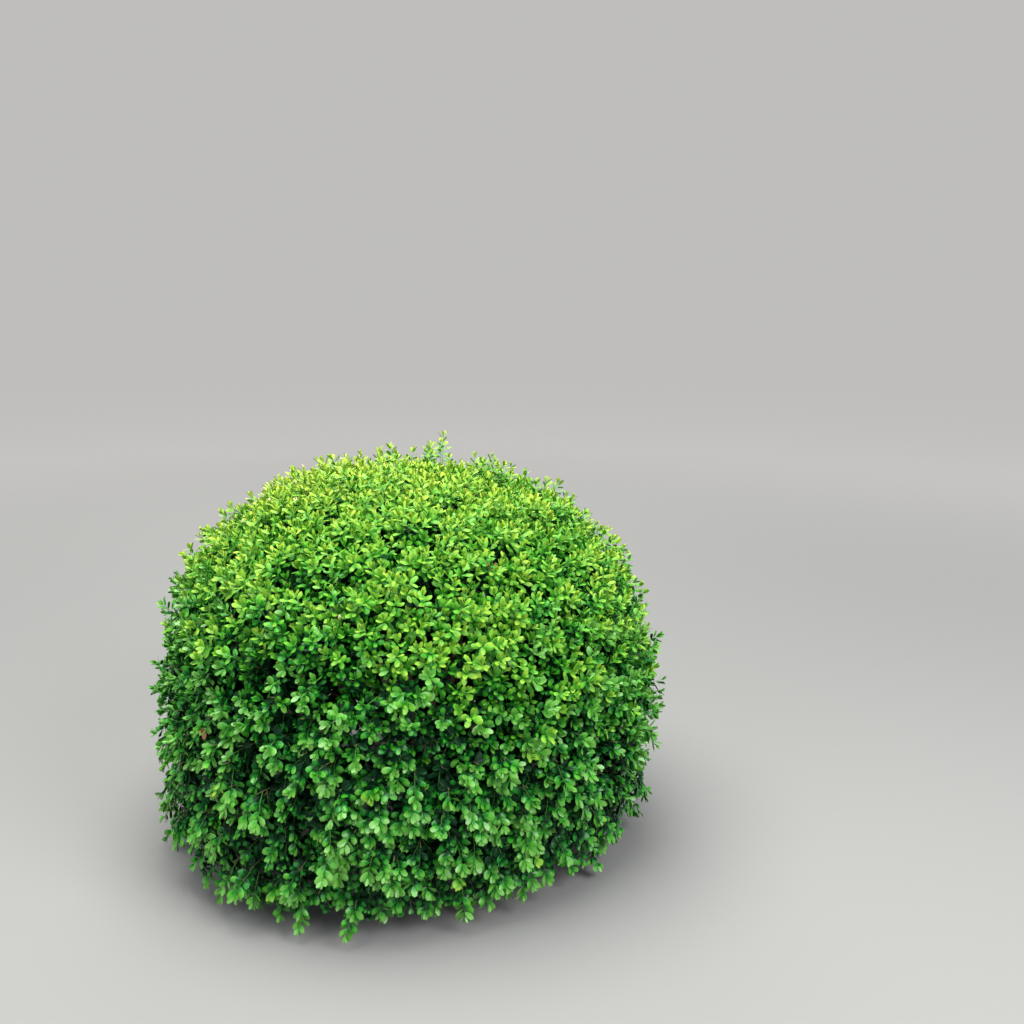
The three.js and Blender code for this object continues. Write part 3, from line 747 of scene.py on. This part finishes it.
# Root radius, tip radius and number of sides.
BRANCH_TUBE = (0.0052, 0.0028, 5)
LEADER_TUBE = (0.0024, 0.0009, 4)
SHOOT_TUBE = (0.0010, 0.0005, 3)
GREEN_ODDS = 0.9
SHADED_BRANCH_BARK, TAN, GREEN = 0, 1, 2
TWIG_FINISHES = [
    # Painted shade: the branches' bark is coloured darker than the stem's, for the shade inside the bush.
    plain_material("shaded_branch_bark", (0.075, 0.062, 0.043), 0.9, 0.2),
    plain_material("tan_twig", (0.120, 0.115, 0.050), 0.85, 0.2),
    plain_material("green_twig", (0.080, 0.230, 0.028), 0.7, 0.3),
]
shoot_mass = tuft_mass[tuft_of]
for number, mass in enumerate(masses):
    parts = []
    corners, faces = tubes(branch_lines[branch_mass == number], *BRANCH_TUBE)
    parts.append((corners, faces, np.full(faces.shape[:2], SHADED_BRANCH_BARK)))
    corners, faces = tubes(leader_lines[number], *LEADER_TUBE)
    parts.append((corners, faces, np.full(faces.shape[:2], TAN)))
    mine = np.flatnonzero(shoot_mass == number)
    corners, faces = tubes(shoot_lines[mine], *SHOOT_TUBE)
    tint = np.where(chance.uniform(0, 1, len(mine)) < GREEN_ODDS, GREEN, TAN)
    parts.append((corners, faces, np.repeat(tint, faces.shape[1])))
    twigs = joined_mesh(f"twigs_{mass['name']}", parts, TWIG_FINISHES)
    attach(twigs, "root")
    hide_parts(f"foliage_{mass['name']}")

# The leaves: small, leathery, glossy and blunt, in opposite pairs along every shoot, each on its own short
# stalk. Upright shoots hold each pair across the last one, and hanging ones turn their pairs to the light.
# A leaf is eight facets about its midrib. New ones at the tips are yellow-green, old ones deep blue-green.
PAIR_FROM_TIP = np.array([0.000, 0.0042, 0.0100, 0.0175, 0.0260, 0.0350, 0.0445, 0.0540])
PAIR_ANGLE_UPRIGHT = np.radians([12, 22, 31, 38, 44, 50, 55, 60])
PAIR_ANGLE_FLAT = np.radians([13, 24, 32, 37, 41, 43, 45, 47])
PAIR_SIZE = np.array([0.50, 0.76, 0.93, 1.00, 1.00, 0.97, 0.94, 0.92])
PAIR_BREADTH = np.array([0.72, 0.82, 0.92, 1.00, 1.04, 1.06, 1.06, 1.06])
PAIR_FOLD = np.array([0.34, 0.26, 0.00, -0.34, -0.54, -0.60, -0.62, -0.62])
PAIR_CURL = np.array([-0.06, 0.04, 0.18, 0.28, 0.35, 0.38, 0.40, 0.40])
PAIR_SHADE = np.array([-0.8, -0.6, -0.1, 0.7, 1.7, 2.8, 3.8, 4.6])
LEAF_LENGTH = [(0, 0.0200), (35, 0.0200), (55, 0.0209), (85, 0.0222)]
LEAF_HALF_WIDTH = [(20, 0.225), (50, 0.262), (90, 0.305)]
LEAF_SIDE = [(0.20, 0.58), (0.54, 1.0), (0.86, 0.72)]
OTHER_SIDE = [(u, -v) for u, v in reversed(LEAF_SIDE)]
LEAF_OUTLINE = [(0, 0), *LEAF_SIDE, (1, 0), *OTHER_SIDE, (0.54, 0)]
LEAF_FACETS = [(0, 8, 1), (1, 8, 2), (2, 8, 3), (3, 8, 4), (8, 5, 4), (6, 5, 8), (7, 6, 8), (0, 7, 8)]
TIP_FACETS = slice(2, 6)
STALK_SHARE = 0.06
# How flat to the light a shoot holds its leaves, from 0 for pairs that cross to 1 for pairs in one plane.
FLATNESS = [(0, 0.0), (46, 0.06), (66, 0.30), (80, 0.66), (92, 0.88)]
FLATTEST = 0.96
CROSSED_TURN = math.pi / 2
FLAT_TURN = 1.05
# A share of a shoot nearer to its foot than this has no leaves.
BARE_FOOT = 0.10
# The light that a shoot's leaves face comes from outside the bush and from above.
LIGHT_FROM_OUTSIDE = (0.55, 0.55)
LIGHT_FROM_ABOVE = (0.85, -0.35)
# How much shoots, pairs and leaves differ from each other.
SPACING_RANGE = (0.86, 1.14)
LENGTH_RANGE = (0.86, 1.12)
SIZE_RANGE = (0.90, 1.08)
WIDTH_RANGE = (0.90, 1.12)
FLATNESS_SPREAD = 0.12
FIRST_TURN_SPREAD = 0.20
PAIR_TURN_SPREAD = 0.16
ANGLE_SPREAD = 0.17
FACING_SPREAD = 0.20
FOLD_SPREAD = 0.14
# Painted shade: the base of a blade is coloured darker than its tip, as if the pair above shaded it,
# and more so in the skirt.
FACET_SHADE = np.array([0.80, 0.25, -0.35, -0.50, -0.50, -0.35, 0.25, 0.80])
# Colour, roughness and specular, from the yellowest new leaves over the glossy full-grown ones to the dull
# old ones, whose darkest greens are also painted shade deep in the bush. Then come bleached and dead leaves,
# and the bluer, glossier greens that hang in half shade: darker copies of the greens above as painted shade,
# with a painted bluish sheen of the sky.
LEAF_COLOURS = [
    ("new_leaf", (0.320, 0.450, 0.043), 0.50, 0.15),
    ("fresh_leaf", (0.220, 0.400, 0.035), 0.47, 0.17),
    ("bright_leaf", (0.154, 0.364, 0.030), 0.42, 0.24),
    ("full_leaf", (0.098, 0.335, 0.022), 0.40, 0.26),
    ("summer_leaf", (0.052, 0.275, 0.014), 0.38, 0.28),
    ("deep_leaf", (0.017, 0.175, 0.008), 0.38, 0.18),
    ("shade_leaf", (0.002, 0.064, 0.008), 0.38, 0.16),
    ("inner_shade_leaf", (0.0010, 0.022, 0.006), 0.50, 0.12),
    ("bleached_leaf", (0.66, 0.60, 0.34), 0.70, 0.20),
    ("dead_leaf", (0.17, 0.085, 0.035), 0.75, 0.25),
    ("hanging_bright_leaf", (0.106, 0.306, 0.045), 0.36, 0.40),
    ("hanging_full_leaf", (0.070, 0.288, 0.023), 0.36, 0.36),
    ("hanging_summer_leaf", (0.034, 0.238, 0.014), 0.35, 0.34),
    ("hanging_deep_leaf", (0.007, 0.148, 0.011), 0.34, 0.30),
]
LEAF_FINISHES = [plain_material(*finish) for finish in LEAF_COLOURS]
BRIGHT, DEEP, INNER, BLEACHED, DEAD, HANGING = 2, 5, 7, 8, 9, 10


def across_from(vectors, along):
    """The unit part of some vectors that lies square to others."""
    return unit(vectors - along * np.sum(vectors * along, axis=-1, keepdims=True))


pairs = len(PAIR_FROM_TIP)
spacing = chance.uniform(*SPACING_RANGE, shoots)
back = PAIR_FROM_TIP[None] * spacing[:, None]
share = 1 - back / length[:, None]
present = share > BARE_FOOT
share = np.clip(share, 0.02, 1)
spot = shoot_at(share)
along = unit(shoot_at(np.minimum(share + 0.02, 1.02)) - shoot_at(share - 0.02))
light_out = shoot_out * skirted(LIGHT_FROM_OUTSIDE, lowness)[:, None]
light = unit(light_out + upwards * skirted(LIGHT_FROM_ABOVE, lowness)[:, None])
facing = across_from(light[:, None], along)
sideways = np.cross(along, facing)
flatness = graded(shoot_droop, FLATNESS) + chance.normal(0, FLATNESS_SPREAD, shoots)
flatness = np.clip(flatness, 0, FLATTEST)
crossing = CROSSED_TURN * (1 - flatness) + FLAT_TURN * flatness
first_turn = chance.uniform(-0.5, 0.5, shoots) * math.pi * (1 - flatness)
first_turn = first_turn + chance.normal(0, FIRST_TURN_SPREAD, shoots)
around = first_turn[:, None] + (np.arange(pairs) % 2 - 0.5)[None] * crossing[:, None]
around = around + chance.normal(0, PAIR_TURN_SPREAD, (shoots, pairs))
side = sideways * np.cos(around)[..., None] + facing * np.sin(around)[..., None]
leaf_length = graded(shoot_droop, LEAF_LENGTH) * chance.uniform(*LENGTH_RANGE, shoots)

# The shade of each shoot is a place in the list of colours, and its tufts and shoots differ a little.
# It is lighter over the top, partly for the new growth there and partly as painted light.
# Painted shade: shoots that stay back, and those in hollows, are coloured darker.
SHOOT_SHADE = [(0, 0.5), (35, 1.40), (60, 1.45), (85, 1.38), (110, 1.30)]
TUFT_SHADE_SPREAD = 0.26
SHOOT_SHADE_SPREAD = 0.36
LEAF_SHADE_SPREAD = (0.24, 0.22)
BACK_SHADE = (1.5, 0.7)
HOLLOW_SHADE = 2.0
SUNK_LIMITS = (-0.034, 0)
SUNK_START = 0.004
SUNK_SHADE = 48
top_share = np.clip(1 - tilt_degrees / 45, 0, 1)
shade = graded(shoot_droop, SHOOT_SHADE)
shade += chance.normal(0, TUFT_SHADE_SPREAD, tufts)[tuft_of] + chance.normal(0, SHOOT_SHADE_SPREAD, shoots)
sunk_shade = skirted(BACK_SHADE, lowness) * is_back - np.clip(lift + SUNK_START, *SUNK_LIMITS) * SUNK_SHADE
shade += HOLLOW_SHADE * sunk + sunk_shade * (1 - 0.45 * top_share) * (0.85 + 0.15 * lowness)

# Painted light and shade: the left side is coloured darker than the right one, and the top lighter and
# yellower on the left and darker on the right. The right side is coloured lighter on the shoulder, and as
# dark as the left one near the foot.
LEFT_TURN = math.radians(-165)
FRONT_RIGHT_TURN = math.radians(-18)
LEFT_SHADE = 0.95
LEFT_TOP_LIGHT = 2.0
TOP_LIGHT = 0.10
RIGHT_SHADE = 0.95
RIGHT_FOOT_SHADE = 1.10
RIGHT_SHOULDER_LIGHT = 0.40
towards_left = np.sin(shoot_tilt) * np.cos(shoot_turn - LEFT_TURN)
shade += LEFT_SHADE * np.clip(towards_left, 0, 1) * ramp(shoot_droop, 46, 30)
below_girth = ramp(tilt_degrees, 62, 15)
front_right = np.sin(shoot_tilt) * np.clip(np.cos(shoot_turn - FRONT_RIGHT_TURN), 0, 1) ** 2
shade += front_right * (RIGHT_SHADE * below_girth + RIGHT_FOOT_SHADE * ramp(tilt_degrees, 85, 15))
towards_right = np.clip(-towards_left, 0, 1)
shade -= RIGHT_SHOULDER_LIGHT * towards_right * ramp(shoot_droop, 46, 20) * (1 - below_girth)
shade -= (LEFT_TOP_LIGHT * towards_left + TOP_LIGHT) * np.clip(1.25 - tilt_degrees / 45, 0, 1)

# A few leaves are dead, a few have tips that the sun has bleached, most of them along the upper left edge.
# Shoots of the skirt, and of the sides below the shoulder, take the greens of half shade: painted shade,
# with a painted bluish sheen of the sky.
DEAD_ODDS = 0.002
BLEACHED_ODDS = 0.003
EDGE_BLEACHED_ODDS = 0.22
EDGE_TILT = 27
EDGE_WIDTH = 12
EDGE_TURN = math.radians(150)
PALEST = [(30, 0.2), (58, 1.6), (68, 2.2), (88, 2.0)]
HANGING_ODDS = 0.97
edge_turn_share = np.clip(np.cos(shoot_turn - EDGE_TURN), 0, 1) ** 2
left_edge = np.exp(-((tilt_degrees - EDGE_TILT) / EDGE_WIDTH) ** 2) * edge_turn_share
bleached_odds = BLEACHED_ODDS * (1 - lowness) + EDGE_BLEACHED_ODDS * left_edge
bleached = chance.uniform(0, 1, shoots) < bleached_odds
dead = chance.uniform(0, 1, shoots) < DEAD_ODDS
palest = graded(shoot_droop, PALEST)
half_shade = lowness + (0.15 + 0.55 * np.abs(towards_left)) * ramp(tilt_degrees, 48, 12)
in_half_shade = chance.uniform(0, 1, shoots) < HANGING_ODDS * np.clip(half_shade, 0, 1)

# Old leaves line the branches and leaders behind the shoots: broad, dark and simple, in pairs that stand
# square to the wood. They take the darkest greens, darker than old leaves are, as painted shade deep in
# the bush.
LEADER_PAIRS = 30
BRANCH_PAIRS = 72
LEADER_BARE_SHARE = 0.05
BRANCH_BARE_SHARE = 0.35
INNER_LENGTH = 0.0215
INNER_HALF_WIDTH = 0.32
INNER_FOLD = 0.35
INNER_CURL = 0.30
INNER_OUTLINE = [(0, 0), (0.35, 0.85), (0.80, 0.80), (1.0, 0), (0.80, -0.80), (0.35, -0.85)]
INNER_FACETS = [(0, 3, 1), (1, 3, 2), (0, 5, 3), (5, 4, 3)]
# Painted shade: one half of each old leaf is coloured partly darker, the other partly lighter.
INNER_FACET_SHADE = np.array([0.35, 0.0, 0.0, -0.55])
INNER_SHADE_SPREAD = 0.5
INNER_GROUND_GAP = 0.002
GROUND_GAP = 0.001


def inner_leaves(lines, pairs_each, first_share):
    count = len(lines)
    many = (count, pairs_each)
    reach = np.sort(chance.uniform(first_share, 0.97, many), axis=1)
    joints = lines.shape[1] - 1
    place = reach * joints
    first = np.minimum(place.astype(int), joints - 1)
    rows = np.arange(count)[:, None]
    before, after = lines[rows, first], lines[rows, first + 1]
    root = before + (after - before) * (place - first)[..., None]
    along = unit(after - before)
    across = unit(np.cross(along, chance.normal(0, 1, (*many, 3))))
    leaves, tones = [], []
    for hand in (1, -1):
        way = unit(hand * across + along * chance.uniform(-0.1, 0.5, (*many, 1)))
        normal = across_from(along + chance.normal(0, 0.25, (*many, 3)), way)
        aside = np.cross(normal, way)
        size = INNER_LENGTH * chance.uniform(0.8, 1.12, many)
        corners = np.empty((*many, len(INNER_OUTLINE), 3))
        for k, (u, v) in enumerate(INNER_OUTLINE):
            onwards = way * (u * size)[..., None]
            outwards = aside * (v * INNER_HALF_WIDTH * size)[..., None]
            drop = (INNER_FOLD * abs(v) * INNER_HALF_WIDTH - INNER_CURL * u * u) * size
            corners[:, :, k] = root + onwards + outwards + normal * drop[..., None]
        keep = corners[..., 2].min(axis=2) > INNER_GROUND_GAP
        leaves.append(corners[keep])
        tones.append(chance.normal(INNER, INNER_SHADE_SPREAD, many)[keep])
    corners, tone = np.concatenate(leaves), np.concatenate(tones)
    faces = (np.arange(len(corners)) * len(INNER_OUTLINE))[:, None, None] + np.array(INNER_FACETS)
    tone = np.clip(np.rint(tone[:, None] + INNER_FACET_SHADE), DEEP, INNER).astype(int)
    return corners, faces, tone


for number, mass in enumerate(masses):
    mine = np.flatnonzero(shoot_mass == number)
    many = (len(mine), pairs)
    flat = flatness[mine][:, None]
    low = lowness[mine][:, None]
    half_width = graded(shoot_droop[mine], LEAF_HALF_WIDTH)[:, None]
    parts = []
    for hand in (1, -1):
        out = hand * side[mine]
        angle = PAIR_ANGLE_UPRIGHT * (1 - flat) + PAIR_ANGLE_FLAT * flat
        angle = angle + chance.normal(0, ANGLE_SPREAD, many)
        way = unit(along[mine] * np.cos(angle)[..., None] + out * np.sin(angle)[..., None])
        inner = along[mine] * np.sin(angle)[..., None] - out * np.cos(angle)[..., None]
        in_front = np.clip(hand * np.sin(around[mine]), 0, 1)
        weight = (0.12 + flat * (0.56 + 0.30 * in_front))[..., None]
        normal = inner * (1 - weight) + facing[mine] * weight
        normal = across_from(normal + chance.normal(0, FACING_SPREAD, (*many, 3)), way)
        across = np.cross(normal, way)
        size = leaf_length[mine][:, None] * PAIR_SIZE[None] * chance.uniform(*SIZE_RANGE, many)
        wide = size * half_width * PAIR_BREADTH[None] * chance.uniform(*WIDTH_RANGE, many)
        fold = PAIR_FOLD[None] + chance.normal(0, FOLD_SPREAD, many)
        stalk = spot[mine] + out * 0.0004 + facing[mine] * (0.0012 * flat)[..., None]
        corners = np.empty((*many, len(LEAF_OUTLINE), 3))
        for k, (u, v) in enumerate(LEAF_OUTLINE):
            onwards = way * (size * (STALK_SHARE + u))[..., None]
            outwards = across * (v * wide)[..., None]
            height = np.abs(v) * fold * wide - PAIR_CURL[None] * u * u * size
            corners[:, :, k] = stalk + onwards + outwards + normal * height[..., None]
        whole = present[mine] & (corners[..., 2].min(axis=2) > GROUND_GAP)
        corners = corners[whole]
        # Pairs further in are darker: partly older leaves, partly painted shade from the pairs outside.
        fade = PAIR_SHADE[None] * (0.90 - 0.08 * lowness[mine] - 0.35 * top_share[mine])[:, None]
        tone = shade[mine][:, None] + fade + skirted(LEAF_SHADE_SPREAD, low) * chance.normal(0, 1, many)
        tone = np.maximum(tone, palest[mine][:, None])
        tone = tone[..., None] + FACET_SHADE * (1 + 0.8 * low[..., None])
        tone = np.clip(np.rint(tone), 0, INNER).astype(int)
        hangs = in_half_shade[mine][:, None, None] & (tone <= DEEP)
        tone = np.where(hangs, HANGING + np.maximum(tone - BRIGHT, 0), tone)
        tone[bleached[mine], :2, TIP_FACETS] = BLEACHED
        tone[dead[mine], 1:3] = DEAD
        faces = (np.arange(len(corners)) * len(LEAF_OUTLINE))[:, None, None] + np.array(LEAF_FACETS)
        parts.append((corners, faces, tone[whole]))
    parts.append(inner_leaves(leader_lines[number], LEADER_PAIRS, LEADER_BARE_SHARE))
    parts.append(inner_leaves(branch_lines[branch_mass == number], BRANCH_PAIRS, BRANCH_BARE_SHARE))
    leaves = joined_mesh(f"leaves_{mass['name']}", parts, LEAF_FINISHES)
    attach(leaves, "root")
    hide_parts(f"foliage_{mass['name']}")

# The studio: a round pale floor that glows more and more away from the bush, so that it meets the pale air
# without a line. Four soft round lamps light the bush, the widest and strongest overhead, and so does a
# pale blue dome that is brightest straight above.
FLOOR_RADIUS = 40
FLOOR_SIDES = 64
FLOOR_COLOUR = (0.22, 0.217, 0.21)
FLOOR_GLOW = (0.349, 0.333, 0.315, 1)
GLOW_START = 1.0
GLOW_FULL = 7.0
AIR_COLOUR = (0.52, 0.515, 0.505)
DOME_COLOUR = (0.88, 0.94, 1.0, 1)
DOME_LOWEST = -0.1
DOME_LOW_STRENGTH = 0.06
DOME_HIGH_STRENGTH = 1.1
LAMP_AIM = Vector((0, 0, 0.4))
# Name, place, size, power and colour.
LAMPS = [
    ("overhead", (-0.4, -0.4, 4.2), 3.4, 305, (1.0, 0.99, 0.94)),
    ("right", (2.7, -2.6, 3.0), 2.4, 190, (0.98, 0.99, 1.0)),
    ("left", (-2.4, -2.9, 3.0), 2.4, 60, (0.94, 0.98, 1.0)),
    ("back", (-0.6, 3.6, 3.0), 2.4, 60, (1.0, 1.0, 0.98)),
]
bpy.ops.object.select_all(action="DESELECT")
bpy.ops.mesh.primitive_circle_add(
    vertices=FLOOR_SIDES, radius=FLOOR_RADIUS, fill_type="NGON", location=(0, 0, 0)
)
floor = bpy.context.object
floor.name = "studio_floor"
paper = plain_material("floor_paper", FLOOR_COLOUR, 0.9, 0.2)
nodes, link = paper.node_tree.nodes, paper.node_tree.links.new
place = nodes.new("ShaderNodeTexCoord")
from_bush = nodes.new("ShaderNodeVectorMath")
from_bush.operation = "LENGTH"
link(place.outputs["Object"], from_bush.inputs[0])
glow = nodes.new("ShaderNodeMapRange")
glow.interpolation_type = "SMOOTHSTEP"
glow.inputs["From Min"].default_value = GLOW_START
glow.inputs["From Max"].default_value = GLOW_FULL
link(from_bush.outputs["Value"], glow.inputs["Value"])
link(glow.outputs["Result"], nodes["Principled BSDF"].inputs["Emission Strength"])
nodes["Principled BSDF"].inputs["Emission Color"].default_value = FLOOR_GLOW
floor.data.materials.append(paper)

for name, place, size, power, colour in LAMPS:
    lamp = bpy.data.lights.new(name, "AREA")
    lamp.shape = "DISK"
    lamp.size = size
    lamp.energy = power
    lamp.color = colour
    holder = bpy.data.objects.new(name, lamp)
    holder.location = place
    holder.rotation_euler = (LAMP_AIM - Vector(place)).to_track_quat("-Z", "Y").to_euler()
    bpy.context.scene.collection.objects.link(holder)

world = bpy.data.worlds.new("studio")
world.use_nodes = True
nodes, link = world.node_tree.nodes, world.node_tree.links.new
ambient = nodes["Background"]
ambient.inputs["Color"].default_value = DOME_COLOUR
way_up = nodes.new("ShaderNodeTexCoord")
height_of_way = nodes.new("ShaderNodeSeparateXYZ")
link(way_up.outputs["Generated"], height_of_way.inputs[0])
dome_light = nodes.new("ShaderNodeMapRange")
dome_light.inputs["From Min"].default_value = DOME_LOWEST
dome_light.inputs["To Min"].default_value = DOME_LOW_STRENGTH
dome_light.inputs["To Max"].default_value = DOME_HIGH_STRENGTH
link(height_of_way.outputs["Z"], dome_light.inputs["Value"])
link(dome_light.outputs["Result"], ambient.inputs["Strength"])
air = nodes.new("ShaderNodeBackground")
air.inputs["Color"].default_value = (*AIR_COLOUR, 1)
ray = nodes.new("ShaderNodeLightPath")
seen = nodes.new("ShaderNodeMixShader")
link(ray.outputs["Is Camera Ray"], seen.inputs["Fac"])
link(ambient.outputs["Background"], seen.inputs[1])
link(air.outputs["Background"], seen.inputs[2])
link(seen.outputs["Shader"], nodes["World Output"].inputs["Surface"])
bpy.context.scene.world = world
# Colours are shown as they are, without a film curve.
bpy.context.scene.view_settings.view_transform = "Standard"

# The camera stands a little to the right of the bush at chest height, and looks down on it.
LENS_LENGTH = 38.95
SENSOR_WIDTH = 36
CAMERA_PLACE = (0.243, -2.576, 1.3)
CAMERA_PITCH = math.radians(90 - 11.33)
CAMERA_ROLL = math.radians(0.47)
lens = bpy.data.cameras.new("camera")
lens.lens = LENS_LENGTH
lens.sensor_width = SENSOR_WIDTH
camera = bpy.data.objects.new("camera", lens)
pitch = Matrix.Rotation(CAMERA_PITCH, 4, "X")
roll = Matrix.Rotation(CAMERA_ROLL, 4, "Z")
camera.matrix_world = Matrix.Translation(CAMERA_PLACE) @ pitch @ roll
bpy.context.scene.collection.objects.link(camera)
bpy.context.scene.camera = camera
